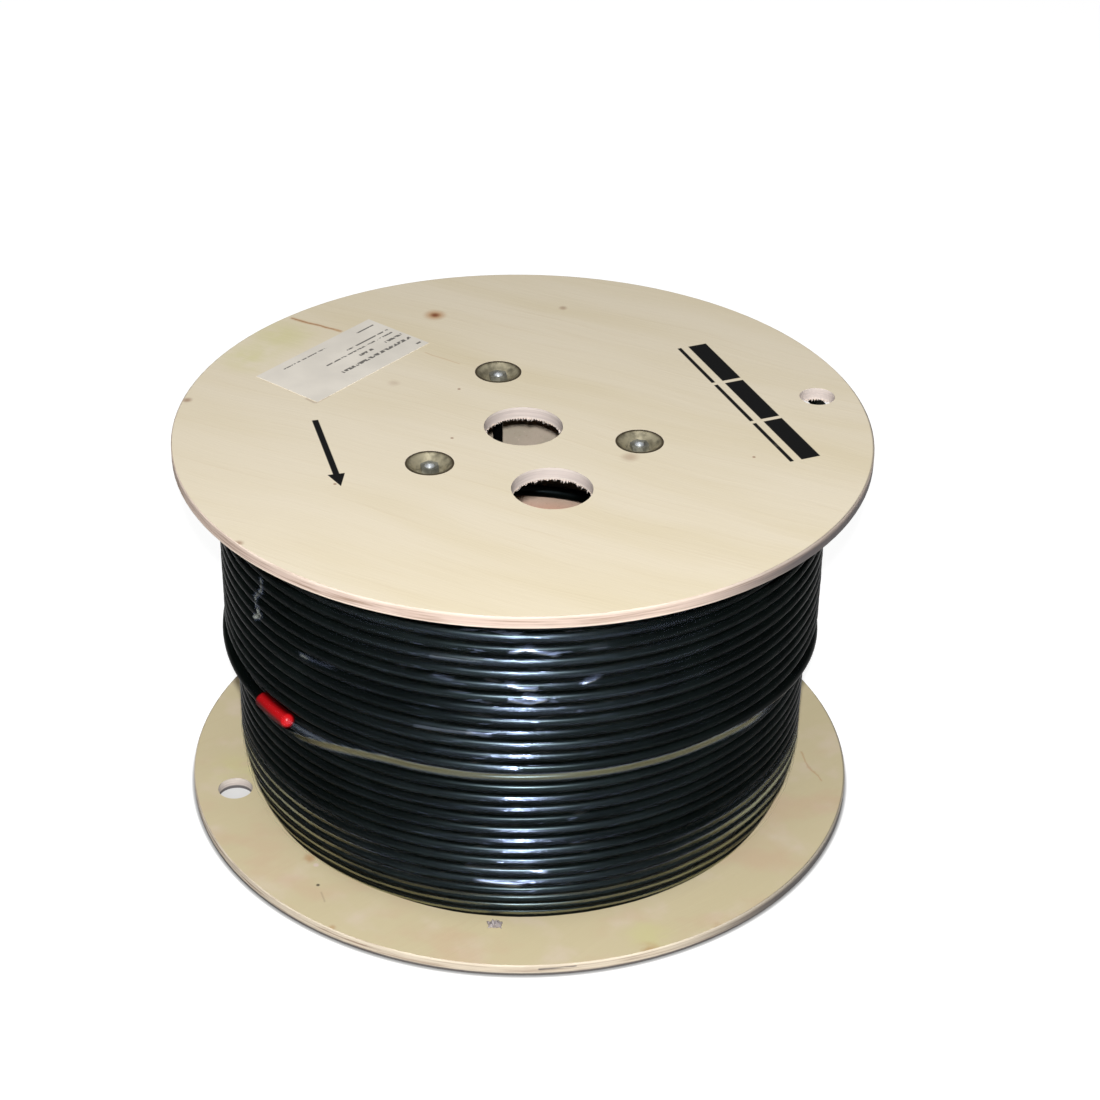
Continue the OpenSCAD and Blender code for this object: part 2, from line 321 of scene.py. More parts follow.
def stroke(x, y, start, end, width, soft=0.3):
    """1 on a straight stroke from start to end, with all lengths in mm."""
    run = Vector(end) - Vector(start)
    way = run.normalized()
    along = (x - start[0]) * way.x + (y - start[1]) * way.y
    off = (y - start[1]) * way.x - (x - start[0]) * way.y
    inside = abs(off).ramp(width / 2 + soft, width / 2 - soft)
    return inside * abs(along - run.length / 2).ramp(run.length / 2 + soft, run.length / 2 - soft)


def new_material(name, **constants):
    """A material with a Principled shader whose plain sockets hold the constants."""
    material = bpy.data.materials.new(name)
    material.use_nodes = True
    shader = material.node_tree.nodes["Principled BSDF"]
    for key, value in constants.items():
        shader.inputs[key.replace("_", " ")].default_value = value
    return material, material.node_tree, shader


def feed(tree, node, **sources):
    """Links terms or sockets to a node's inputs; _ stands for a space in their names."""
    for key, source in sources.items():
        socket = source.socket if isinstance(source, Term) else source
        tree.links.new(socket, node.inputs[key.replace("_", " ")])


def bump(tree, shader, height, depth, strength=1.0):
    values = {"Height": height, "Distance": depth, "Strength": strength}
    feed(tree, shader, Normal=put(tree, "ShaderNodeBump", values).outputs[0])


def object_place(tree):
    return put(tree, "ShaderNodeTexCoord").outputs["Object"]


def slant_of(tree):
    """0 where the surface faces the eye, and 1 where it turns away."""
    return Term(tree, put(tree, "ShaderNodeLayerWeight", {"Blend": 0.5}).outputs["Facing"])


def group_tree(name, inputs, outputs):
    """A shader group with named sockets; returns it, its inputs and its output node."""
    tree = bpy.data.node_groups.new(name, "ShaderNodeTree")
    for title, kind in inputs.items():
        tree.interface.new_socket(name=title, in_out="INPUT", socket_type=kind)
    for title in outputs:
        tree.interface.new_socket(name=title, in_out="OUTPUT", socket_type="NodeSocketFloat")
    return tree, put(tree, "NodeGroupInput").outputs, put(tree, "NodeGroupOutput")


def use_group(tree, name, **values):
    """Places a built group and returns its outputs as terms."""
    new = put(tree, "ShaderNodeGroup", values, node_tree=bpy.data.node_groups[name])
    return [Term(tree, socket) for socket in new.outputs]


def build_veneer_group():
    """Rotary-cut veneer: broad figure, grain streaks and pores. X runs along the grain."""
    tree, given, out = group_tree(
        "veneer", {"Vector": "NodeSocketVector"}, ["Figure", "Streak", "Pore"])
    place = given["Vector"]
    drift = cloud(tree, stretched(tree, place, (5, 9, 5)), 2)
    x, y, z = split(tree, place)
    bent = join(tree, x, y + drift * 0.035, z)
    figure = cloud(tree, stretched(tree, bent, (4, 22, 4)), 3)
    streak = cloud(tree, stretched(tree, bent, (9, 330, 9)), 4, 0.65)
    pore = cloud(tree, stretched(tree, bent, (120, 1500, 120)), 2)
    feed(tree, out, Figure=figure, Streak=streak, Pore=pore)


def build_edge_group():
    """Cut plies: the outer plies, glue lines and streaks at each share of the thickness."""
    tree, given, out = group_tree(
        "cut_plies",
        {"Vector": "NodeSocketVector", "Share": "NodeSocketFloat", "Plies": "NodeSocketFloat"},
        ["Outer", "Glue", "Streak"])
    place, share = given["Vector"], Term(tree, given["Share"])
    wobble = cloud(tree, stretched(tree, place, (30, 30, 30)), 2) - 0.5
    level = share * Term(tree, given["Plies"]) + wobble * 0.25
    glue = abs(level.calc("FRACT") - 0.5).ramp(0.40, 0.49)
    outer = abs(share - 0.5).ramp(0.26, 0.34)
    streak = cloud(tree, stretched(tree, place, (26, 26, 900)), 4, 0.6)
    feed(tree, out, Outer=outer, Glue=glue, Streak=streak)


def build_scuff_group():
    """Fine scratches and smudges for plastic and steel."""
    tree, given, out = group_tree(
        "scuffs", {"Vector": "NodeSocketVector", "Grain": "NodeSocketFloat"}, ["Smudge", "Fine"])
    values = {0: given["Vector"], "Scale": given["Grain"]}
    scaled = put(tree, "ShaderNodeVectorMath", values, operation="SCALE").outputs[0]
    smudge = cloud(tree, scaled, 3)
    fine = cloud(tree, stretched(tree, scaled, (9, 9, 9)), 4, 0.7)
    feed(tree, out, Smudge=smudge, Fine=fine)


def build_fold_group():
    """Film between neighbouring turns: its drop, with two flat slopes where it is taut and round where it
    clings, and the strip under each turn where plies gather. Shares are parts of the turns' spacing."""
    tree, given, out = group_tree(
        "film_folds",
        {"Vector": "NodeSocketVector", "Front": "NodeSocketFloat", "Zero Height": "NodeSocketFloat",
         "Pitch": "NodeSocketFloat", "Lead": "NodeSocketFloat", "Taut": "NodeSocketFloat"}, ["Drop", "Under"])
    upper_start, upper_slope = 0.18, 0.82
    lower_start, lower_slope = 0.11, 0.67
    turn_r, furthest = 0.47, 0.4
    strip_place, strip_half = -0.18, 0.36
    x, y, z = split(tree, given["Vector"])
    pitch, taut = Term(tree, given["Pitch"]), Term(tree, given["Taut"])
    around = ((y.calc("ARCTAN2", x) - Term(tree, given["Front"])) / FULL_TURN).calc("FRACT")
    phase = (z - Term(tree, given["Zero Height"])) / pitch + around * Term(tree, given["Lead"])
    off = phase - phase.calc("ROUND")
    upper = ((off - upper_start) * upper_slope).most(0.0)
    lower = ((off * -1.0 - lower_start) * lower_slope).most(0.0)
    clinging = turn_r - (turn_r ** 2 - (off * off).least(furthest ** 2)).calc("SQRT")
    drop = upper.most(lower) * taut + clinging * (1.0 - taut)
    under = (1.0 - abs(off - strip_place) / strip_half).most(0.0)
    feed(tree, out, Drop=drop * pitch, Under=under)


# Marks on the flanges, in mm from the drum's axis. Blotches have a place and a radius, and knots a depth of
# colour too. Lines have a start, an end, a width and a soft edge.
LOW_RESIN = (((75, -176), 12), ((-176, -22), 14))
LOW_STAINS = (((73.8, -189.5), 6), ((120.5, -163), 7), ((-124.5, -108.5), 3.5), ((-181.8, 75.8), 5),
              ((-106.4, -171.2), 2))
LOW_PITS = (((-117.1, -133.1), 1),)
LOW_CHIPS = (((-119.6, -114.5), 1.6),)
LOW_SCUFF = ((-114.9, -137.5), (-112, -146.6), 0.8, 0.6)
LOW_CHECK = ((179.7, 3.7), (190.7, -27.4), 0.9, 0.7)
LOW_RIM_DASH = ((11.5, 4.8), (33, 5.4), 1.1, 0.5)
TOP_RESIN = (((-150, 111), 17), ((-167, 82), 14))
TOP_HALO = (((-56.1, 144), 5.5),)
TOP_KNOTS = (((-56.1, 144), 2.4, 0.95), ((24.2, 156), 2, 0.45), ((-77.5, 52.9), 3, 0.2),
             ((60.8, -33.5), 4, 0.35), ((-198.1, 28.8), 2.4, 0.6), ((-152.4, -131.4), 2.4, 0.6))
TOP_SPECKS = (((-38.5, 44.7), 0.9), ((-41, -15.1), 0.9), ((131.6, -33.5), 0.9), ((-104.7, -69), 0.9))
TOP_CRACK = ((-146, 138.6), (-113, 121.1), 2.2, 1.2)
TOP_SEAM = ((-145.5, 138.3), (-118, 123.8), 0.7, 0.5)
TOP_JOINT = ((-60.5, 92.6), (-38.8, 78.3), 0.8, 0.5)
# Brown strokes along two edges of the label's lower corner
TOP_CORNER_STROKES = (((-128.5, 31), (-122.5, 25.2), 1.4, 1), ((-122.5, 25.2), (-115, 34.5), 1.4, 1))


def plywood(name, wood, face, cut_plies, low_z, turn, marks, grime_and_shade=0.0):
    """Plywood of one flange; marks paints its upper face, and grime_and_shade is the height of the painted contact
    shadow along its foot, which also turns on a dark dash on its rim.
    """
    material, tree, shader = new_material(name, Specular_IOR_Level=0.3)
    place = object_place(tree)
    x, y, z = split(tree, place)
    reach = (x * x + y * y).calc("SQRT")
    figure, streak, pore = use_group(tree, "veneer", Vector=stretched(tree, place, (1, 1, 1), -turn))
    skin = paint(figure.ramp(0.35, 0.80) * 0.6, face, wood.warm)
    skin = paint(streak.ramp(0.52, 0.80) * 0.16, skin, wood.streak)
    skin = paint(pore.ramp(0.60, 0.85) * 0.14, skin, wood.streak)
    skin = marks(tree, x / MM, y / MM, skin, wood)
    # Painted shade: the face's outermost edge turns dark grey towards the right. At the back this edge is darker
    # in streaks.
    shade_right_edge = x.ramp(110 * MM, 170 * MM) * y.ramp(80 * MM, 0.0) * 0.75
    darker_back_edge = y.ramp(-20 * MM, 50 * MM) * streak.ramp(0.35, 0.6) * 0.4
    arris = reach.ramp(RIM_R - 1.6 * MM, RIM_R - 0.4 * MM)
    skin = paint(arris * (shade_right_edge + darker_back_edge), skin, wood.grime_and_shade)
    level = (z - low_z) / FLANGE_T
    outer, glue, burn = use_group(tree, "cut_plies", Vector=place, Share=level, Plies=float(wood.plies))
    core, edge = cut_plies
    cut = paint(outer, core, edge)
    rough_cut = 0.6 + x.ramp(20 * MM, -160 * MM) * 0.4
    cut = paint(burn.ramp(0.43, 0.68) * (1.0 - outer * 0.5) * rough_cut, cut, wood.scorch)
    cut = paint(glue * 0.28, cut, wood.scorch)
    at_rim = reach.ramp(RIM_R - 3 * MM, RIM_R - MM)
    cut = paint((1.0 - at_rim) * 0.6, cut, wood.bore)
    # Painted shade: the cut rim turns dark grey towards the right, most on its lower plies. On the lower flange a
    # painted contact shadow runs along the foot, and a dark dash marks the rim's front.
    rim_shade_and_dash = at_rim * x.ramp(70 * MM, 160 * MM) * (0.45 + level.ramp(0.9, 0.5) * 0.45)
    if grime_and_shade:
        rim_shade_and_dash = rim_shade_and_dash.most(z.ramp(low_z + grime_and_shade, low_z + grime_and_shade * 0.55) * 0.9)
        dash = stroke(x / MM, z / MM, *LOW_RIM_DASH) * y.ramp(0.0, -100 * MM)
        rim_shade_and_dash = rim_shade_and_dash.most(dash * burn.ramp(0.35, 0.5) * 0.8)
    cut = paint(rim_shade_and_dash, cut, wood.grime_and_shade)
    facing = abs(split(tree, put(tree, "ShaderNodeTexCoord").outputs["Normal"])[2])
    flat = facing.ramp(0.75, 0.95)
    feed(tree, shader, Base_Color=paint(flat, cut, skin), Roughness=0.52 + streak * 0.2)
    bump(tree, shader, streak + burn * (1.0 - flat) * 2.0 + pore * 0.4, 0.25 * MM, 0.5)
    return material


def blotches(x, y, skin, places, soft, mask, tone):
    """Lays soft round blotches of one colour on the skin, as strong as the mask says."""
    for centre, radius in places:
        skin = paint(spot(x, y, centre, radius, soft) * mask, skin, tone)
    return skin


def patches(tree, x, y):
    """Patchy noise that breaks up the marks."""
    return cloud(tree, join(tree, x * 0.06, y * 0.06, 0.0), 3)


def bare_marks(tree, x, y, skin, wood):
    """No marks, for slivers."""
    return skin


def lower_marks(tree, x, y, skin, wood):
    """Resin, clouds, stains, a pit, a chip, a scuff and a check line on the lower flange."""
    patchy = patches(tree, x, y)
    skin = blotches(x, y, skin, LOW_RESIN, 0.9, patchy.ramp(0.35, 0.6) * 0.6, wood.resin)
    pale = cloud(tree, join(tree, x * 0.034, y * 0.034, 3.0), 3).ramp(0.5, 0.75)
    skin = paint(pale * 0.5, skin, wood.edge)
    pink = cloud(tree, join(tree, x * 0.018, y * 0.026, 8.0), 3).ramp(0.48, 0.70)
    skin = paint(pink * 0.55, skin, wood.blush)
    skin = blotches(x, y, skin, LOW_STAINS, 0.8, patchy.ramp(0.4, 0.6) * 0.6, wood.halo)
    scuff = stroke(x, y + patchy * 3.0, *LOW_SCUFF)
    skin = paint(scuff * 0.4, skin, wood.scorch)
    skin = blotches(x, y, skin, LOW_PITS, 0.5, 0.85, wood.ink)
    skin = blotches(x, y, skin, LOW_CHIPS, 0.5, 1.0, wood.edge)
    check = stroke(x + patchy * 9.0, y, *LOW_CHECK)
    return paint(check * 0.5, skin, wood.halo)


def upper_marks(tree, x, y, skin, wood):
    """Resin, knots, specks, a crack, a joint, brown strokes at the label's corner and stencil ink on the upper
    flange.
    """
    patchy = patches(tree, x, y)
    ragged = y + patchy * 3.0
    torn = y + patchy * 5.0
    skin = blotches(x, y, skin, TOP_RESIN, 0.9, patchy.ramp(0.2, 0.6) * 0.6, wood.resin)
    skin = blotches(x, ragged, skin, TOP_HALO, 0.6, 0.75, wood.halo)
    for centre, radius, depth in TOP_KNOTS:
        skin = blotches(x, ragged, skin, [(centre, radius)], 0.8, depth, wood.knot)
    skin = blotches(x, y, skin, TOP_SPECKS, 0.5, 0.7, wood.knot)
    crack = stroke(x, torn, *TOP_CRACK) * patchy.ramp(0.22, 0.5)
    skin = paint(crack * 0.8, skin, wood.halo)
    skin = paint(stroke(x, torn, *TOP_SEAM) * 0.55, skin, wood.knot)
    skin = paint(stroke(x, ragged, *TOP_JOINT) * 0.35, skin, wood.halo)
    first, second = (stroke(x, y, *line) for line in TOP_CORNER_STROKES)
    skin = paint(first.most(second) * 0.5, skin, wood.scorch)
    ink = stencil_arrow(x, y).most(stencil_bar(x, y))
    worn = ink * (1.0 - patchy.ramp(0.64, 0.8) * 0.25)
    return paint(worn, skin, wood.ink)


def stencil_arrow(x, y):
    """A plain arrow, which says which way the drum is turned. Its lengths are in mm."""
    tail, tip = Vector((-121.2, 4.5)), Vector((-101.2, -71.3))
    head_len, head_w, shaft_w, soft = 14, 10, 3.7, 0.2
    way = (tip - tail).normalized()
    neck = tip - way * head_len
    shaft = stroke(x, y, tail, neck + way, shaft_w)
    along = (x - neck.x) * way.x + (y - neck.y) * way.y
    off = abs((y - neck.y) * way.x - (x - neck.x) * way.y)
    edge = off - (head_len - along) * (head_w / 2 / head_len)
    head = edge.ramp(soft, -soft) * along.ramp(-soft, soft)
    return shaft.most(head)


def stencil_bar(x, y):
    """A broad bar with stencil bridges and a thin line beside it, in mm."""
    start, end = Vector((102, 105.2)), Vector((161, -36.4))
    pieces, bridge = 3, 3
    broad_shift, broad_w = 4, 12
    thin_shift, thin_w = -8, 2.5
    way = (end - start).normalized()
    side = Vector((-way.y, way.x))
    step = (end - start).length / pieces
    mask = None
    for i in range(pieces):
        first = start + way * (i * step + bridge / 2)
        last = start + way * ((i + 1) * step - bridge / 2)
        for shift, width in ((broad_shift, broad_w), (thin_shift, thin_w)):
            bar = stroke(x, y, first + side * shift, last + side * shift, width)
            mask = bar if mask is None else mask.most(bar)
    return mask


def fibreboard(wood):
    """Grey-brown board with pale and dark fibres."""
    material, tree, shader = new_material("fibreboard", Roughness=0.8, Specular_IOR_Level=0.2)
    place = object_place(tree)
    smudge, fine = use_group(tree, "scuffs", Vector=place, Grain=60.0)
    z = split(tree, place)[2]
    base = paint(z.ramp(FACE_Z * 0.60, FACE_Z * 0.50), wood.board, wood.salmon)
    tone = paint(smudge.ramp(0.3, 0.7) * 0.25, base, wood.core)
    tone = paint(fine.ramp(0.55, 0.75) * 0.5, tone, wood.scorch)
    tone = paint(fine.ramp(0.40, 0.25) * 0.5, tone, wood.edge)
    feed(tree, shader, Base_Color=tone)
    bump(tree, shader, fine, 0.3 * MM, 0.6)
    return material


def bolt_reach(x, y):
    """Distance from the axis of the nearest tie bolt."""
    nearest = None
    for axis in BOLT_AXES:
        across, up = x - axis.x, y - axis.y
        reach = (across * across + up * up).calc("SQRT")
        nearest = reach if nearest is None else nearest.least(reach)
    return nearest


def zinc_steel(name, plating, rim, roughness, crown_r=0.0):
    """Zinc plating with darker smudges and rim; on a bolt crown_r rounds the tip, and rim colours the shank."""
    material, tree, shader = new_material(name, Metallic=0.55)
    place = object_place(tree)
    x, y, z = split(tree, place)
    smudge, fine = use_group(tree, "scuffs", Vector=place, Grain=220.0)
    reach = bolt_reach(x, y)
    dark = tuple(value * 0.45 for value in plating)
    tone = paint(smudge.ramp(0.35, 0.7), plating, dark)
    height = fine * 0.025 * MM
    if crown_r:
        # Below the cups, from 7 to 9 mm under the face downwards, the bolts turn near-black.
        dim = z.ramp(FACE_Z - 7 * MM, FACE_Z - 9 * MM)
        height = height - reach * reach / (2 * crown_r)
    else:
        dim = reach.ramp(CUP_R - 2.6 * MM, CUP_R - 0.6 * MM) * 0.9
    tone = paint(dim, tone, rim)
    feed(tree, shader, Base_Color=tone, Roughness=roughness + fine * 0.2)
    bump(tree, shader, height, 1.0)
    return material


def cable_jacket(name, cable, sheen):
    """Black satin jacket with faint smudges; sheen is its gloss where it faces the eye."""
    material, tree, shader = new_material(name, Specular_Tint=(0.64, 0.90, 1.0, 1.0))
    place = object_place(tree)
    smudge, fine = use_group(tree, "scuffs", Vector=place, Grain=45.0)
    dust = tuple(value * 1.8 for value in cable.jacket)
    tone = paint(smudge.ramp(0.4, 0.75), cable.jacket, dust)
    facing = 1.0 - slant_of(tree)
    polish = 0.45 + cloud(tree, stretched(tree, place, (7, 7, 160)), 1).ramp(0.36, 0.62) * 0.75
    gloss = 0.01 + facing.calc("POWER", 6.0) * polish * sheen
    feed(tree, shader, Base_Color=tone, Roughness=0.26 + smudge * 0.1, Specular_IOR_Level=gloss)
    bump(tree, shader, fine, 0.05 * MM, 0.5)
    return material


def cap_plastic(cable):
    """Glossy red plastic, with painted shade where it turns away from the eye, and a deeper red at its mouth."""
    material, tree, shader = new_material("cap_plastic", Coat_Roughness=0.15)
    place = object_place(tree)
    smudge, fine = use_group(tree, "scuffs", Vector=place, Grain=160.0)
    shade_and_mouth_red = tuple(value * 0.1 for value in cable.cap)
    slant = slant_of(tree)
    x, y, z = split(tree, place)
    mouth_start, mouth_end = math.radians(34.4), math.radians(32.8)
    mouth = (y / x).calc("ARCTANGENT").ramp(mouth_start, mouth_end)
    # Painted shade: the red deepens where the cap turns away from the eye; it deepens at the mouth too.
    tone = paint(slant.ramp(0.16, 0.56).most(mouth), cable.cap, shade_and_mouth_red)
    facing = (1.0 - slant).calc("POWER", 3.0)
    feed(tree, shader, Base_Color=tone, Roughness=0.25 + fine * 0.15, Coat_Weight=(0.3 - fine * 0.1) * facing,
         Specular_IOR_Level=facing * 0.25)
    bump(tree, shader, smudge, 0.15 * MM, 0.4)
    return material


def stretch_film(film, cable):
    """Clear film: mostly see-through, glossy where plies gather, sharp where taut and hazy where creased."""
    material, tree, shader = new_material("stretch_film", Metallic=1.0)
    place = object_place(tree)
    x, y, z = split(tree, place)
    gather, crease, part_hug, full_hug = (
        Term(tree, put(tree, "ShaderNodeAttribute", attribute_name=name).outputs["Fac"])
        for name in ("gather", "crease", "part_hug", "full_hug"))
    outside = 1.0 - Term(tree, put(tree, "ShaderNodeNewGeometry").outputs["Backfacing"])
    slant = slant_of(tree)
    facing = 1.0 - slant
    near_foot = z.ramp(66 * MM, 46 * MM)
    taut = cloud(tree, stretched(tree, place, (14, 14, 60)), 2).ramp(0.30, 0.46) * facing.ramp(0.5, 0.7)
    folds = {"Vector": place, "Front": cable.front_angle, "Taut": taut}
    part_drop = use_group(
        tree, "film_folds", **folds, Pitch=cable.part_pitch, Lead=1.0, **{"Zero Height": cable.leave_z})[0]
    full_drop, full_under = use_group(
        tree, "film_folds", **folds, Pitch=cable.full_pitch, Lead=-1.0,
        **{"Zero Height": FLANGE_T + cable.full_pitch / 2})
    fold = part_drop * part_hug + full_drop * full_hug
    streaky = cloud(tree, stretched(tree, place, (9, 9, 110)), 2).ramp(0.24, 0.48)
    foot_zone = near_foot * (slant.ramp(0.25, 0.55) + z.ramp(44 * MM, 18 * MM) * 0.45).least(1.0)
    broad = full_under.ramp(0.0, 0.75) * x.ramp(50 * MM, 130 * MM) * 0.8
    foot_line = full_under.ramp(0.44, 0.78).most(broad) * full_hug * foot_zone * streaky
    polish = 0.3 + cloud(tree, stretched(tree, place, (5, 5, 150)), 1).ramp(0.38, 0.60) * 0.85
    gloss = 0.001 + facing.calc("POWER", 4.0) * (0.012 + taut * 0.03) * polish
    glint = cloud(tree, stretched(tree, place, (75, 75, 420)), 2).ramp(0.62, 0.70) * facing.ramp(0.70, 0.88)
    gloss = gloss + glint * 0.16 + foot_line * 0.36 + gather * 0.25 + crease * 0.4
    shadow = Term(tree, put(tree, "ShaderNodeLightPath").outputs["Is Shadow Ray"])
    gloss = gloss * outside * (1.0 - shadow)
    turned_crease = facing.ramp(0.85, 0.6)
    smoothed = (gather * 0.8).most(crease * turned_crease).least(0.9)
    crumple = cloud(tree, stretched(tree, place, (150, 150, 420)), 3, 0.6) * (1.0 - smoothed)
    relief = crumple * (0.12 + taut * 0.13) * MM - fold
    foot_side = near_foot * slant.ramp(0.35, 0.6)
    bump(tree, shader, relief * (1.0 - foot_side), 1.0)
    tone = paint(crease.ramp(0.1, 0.4) * turned_crease, film.clear, film.haze)
    warmth = (gather + foot_line * 2.0).least(1.0)
    tone = paint(warmth, tone, film.warm)
    feed(tree, shader, Base_Color=tone, Roughness=0.36 - taut * 0.16 - gather * 0.1 + crease * 0.3,
         Alpha=gloss.least(0.7))
    return material


# Ruled rows of the label: share of its width, start and end as shares of its length, and weight in mm
LABEL_ROWS = (
    (0.13, 0.17, 0.54, 1.0), (0.15, 0.81, 0.96, 1.2), (0.37, 0.60, 0.97, 1.3), (0.46, 0.37, 0.97, 1.3),
    (0.58, 0.60, 0.72, 2.2), (0.58, 0.83, 0.98, 2.2), (0.72, 0.37, 0.98, 2.6), (0.90, 0.94, 0.99, 1.6),
)


def label_paper(trim, centre):
    """Off-white paper with plain ruled lines; along and across run in mm from its middle."""
    material, tree, shader = new_material("label_paper", Specular_IOR_Level=0.3)
    place = object_place(tree)
    x, y, z = split(tree, place)
    right, up = (x - centre.x) / MM, (y - centre.y) / MM
    c, s = math.cos(trim.label_turn), math.sin(trim.label_turn)
    along = right * c + up * s
    across = up * c - right * s
    smudge, fine = use_group(tree, "scuffs", Vector=place, Grain=35.0)
    shade = tuple(value * 0.9 for value in trim.paper)
    tone = paint(smudge.ramp(0.35, 0.7), trim.paper, shade)
    broken = cloud(tree, join(tree, along * 0.42, across * 0.26, 0.0), 1).ramp(0.40, 0.50)
    long_side, short_side = trim.label_long / MM, trim.label_short / MM
    for row, first, last, weight in LABEL_ROWS:
        level = short_side * (0.5 - row)
        line = stroke(along, across, (long_side * (first - 0.5), level), (long_side * (last - 0.5), level), weight)
        tone = paint(line * broken * 0.85, tone, trim.print_grey)
    feed(tree, shader, Base_Color=tone, Roughness=0.55 + fine * 0.2)
    bump(tree, shader, smudge, 0.1 * MM, 0.4)
    return material


def geometry_tree(name, inputs):
    """A Geometry Nodes tree with named inputs; returns it, its inputs as terms and its output node."""
    tree = bpy.data.node_groups.new(name, "GeometryNodeTree")
    tree.interface.new_socket(name="Geometry", in_out="OUTPUT", socket_type="NodeSocketGeometry")
    for title, kind in inputs.items():
        tree.interface.new_socket(name=title, in_out="INPUT", socket_type=kind)
    start = put(tree, "NodeGroupInput")
    given = {title: Term(tree, start.outputs[title]) for title in inputs}
    return tree, given, put(tree, "NodeGroupOutput")


def close_tree(tree, geometry, material, out):
    """Ends a tree in real meshes that carry their material."""
    real = put(tree, "GeometryNodeRealizeInstances", [geometry])
    done = put(tree, "GeometryNodeSetMaterial", {"Geometry": real.outputs[0], "Material": material})
    tree.links.new(done.outputs[0], out.inputs[0])


def grow(name, tree, values):
    """A plain mesh object from a Geometry Nodes tree and its input values."""
    piece = bpy.data.objects.new(name, bpy.data.meshes.new(name))
    bpy.context.scene.collection.objects.link(piece)
    modifier = piece.modifiers.new("shape", "NODES")
    modifier.node_group = tree
    for item in tree.interface.items_tree:
        if item.in_out == "INPUT":
            modifier[item.identifier] = values[item.name]
    graph = bpy.context.evaluated_depsgraph_get()
    mesh = bpy.data.meshes.new_from_object(piece.evaluated_get(graph), depsgraph=graph)
    piece.modifiers.remove(modifier)
    piece.data = mesh
    mesh.name = name
    return piece


# The number inputs of the cable's tree
CABLE_INPUTS = (
    "First Turn", "Turns", "Zero Angle", "Zero Height", "Rise", "Lowest", "Highest", "Radius", "Cable Radius",
    "Foot Turns", "Foot Sink", "Foot Stray", "Wander", "Loose Turns", "Drop Start", "Drop End", "Loose Drop",
    "Loose Lift", "Gap Place", "Gap Rise", "Top Place", "Top Reach", "Top Stray", "Seed",
)


def build_cable_tree():
    """Lays a round cable in turns, with sunken turns at the foot and a loose last stretch."""
    tree, given, out = geometry_tree("cable_lay", {
        "Points": "NodeSocketInt", "Sides": "NodeSocketInt",
        **{title: "NodeSocketFloat" for title in CABLE_INPUTS}, "Material": "NodeSocketMaterial"})
    line = put(tree, "GeometryNodeMeshLine", {"Count": given["Points"]})
    index = Term(tree, put(tree, "GeometryNodeInputIndex").outputs[0])
    share_done = index / (given["Points"] - 1.0)
    turn = given["First Turn"] + share_done * given["Turns"]
    around = given["Zero Angle"] + turn * FULL_TURN
    c, s = around.calc("COSINE"), around.calc("SINE")
    low = ((given["Foot Turns"] - turn) / given["Foot Turns"]).most(0.0)
    stray = cloud(tree, join(tree, c * 1.6, s * 1.6, turn * 0.23 + given["Seed"]), 2) - 0.5
    drift = cloud(tree, join(tree, c * 2.6, s * 2.6, turn * 0.9 + given["Seed"]), 2) - 0.5
    bulge = cloud(tree, join(tree, s * 3.1, c * 3.1, turn * 0.7 - given["Seed"]), 2) - 0.5
    last_tight = given["First Turn"] + given["Turns"] - given["Loose Turns"]
    loose = ((turn - last_tight) / given["Loose Turns"].most(0.001)).most(0.0)
    fall = (turn - last_tight).ramp(given["Drop Start"], given["Drop End"]) * given["Loose Drop"]
    height = given["Zero Height"] + given["Rise"] * turn.least(last_tight)
    gap_half = 0.03  # of a turn
    aside = (turn.calc("FRACT") - given["Gap Place"]) / gap_half
    parted = (1.0 - aside * aside).most(0.0) * turn.ramp(1.9, 2.6) * turn.ramp(6.6, 3.0) * given["Gap Rise"]
    height = height + parted * given["Foot Turns"].ramp(1.0, 2.0)
    height = (height + drift * given["Wander"] + stray * low * given["Foot Stray"]).most(given["Lowest"])
    height = height.least(given["Highest"]) - fall
    radius = given["Radius"] - low * low * given["Foot Sink"] + bulge * given["Wander"]
    radius = radius + stray * low * given["Foot Stray"] + loose * given["Loose Lift"]
    first = (given["First Turn"] + 1.0 - turn).most(0.0)
    beside = (first - given["Top Place"]) / given["Top Reach"]
    radius = radius + (1.0 - beside * beside).most(0.0) * given["Top Stray"]
    place = join(tree, radius * c, radius * s, height)
    bent = put(tree, "GeometryNodeSetPosition", {"Geometry": line.outputs[0], "Position": place})
    curve = put(tree, "GeometryNodeMeshToCurve", [bent.outputs[0]])
    ring = put(tree, "GeometryNodeCurvePrimitiveCircle",
               {"Resolution": given["Sides"], "Radius": given["Cable Radius"]})
    tube = put(tree, "GeometryNodeCurveToMesh",
               {"Curve": curve.outputs[0], "Profile Curve": ring.outputs[0], "Fill Caps": True})
    smooth = put(tree, "GeometryNodeSetShadeSmooth", [tube.outputs[0]])
    close_tree(tree, smooth.outputs[0], given["Material"], out)
    return tree


def rise(x, start, span):
    """0 up to start, 1 past the span that follows, and smooth between."""
    share = min(max((x - start) / span, 0.0), 1.0)
    return share * share * (3 - 2 * share)


def loose_height(cable, past):
    """Height of the lowest outer turn at an angle past the front, from 0 to a full turn."""
    end = cable.loose_angle
    if past <= end:
        return cable.leave_z - cable.loose_drop * rise(past, cable.drop_start, cable.drop_angle)
    back_up = (FULL_TURN - end) / 1.8
    return cable.leave_z - cable.loose_drop * (1 - rise(past, end, back_up))


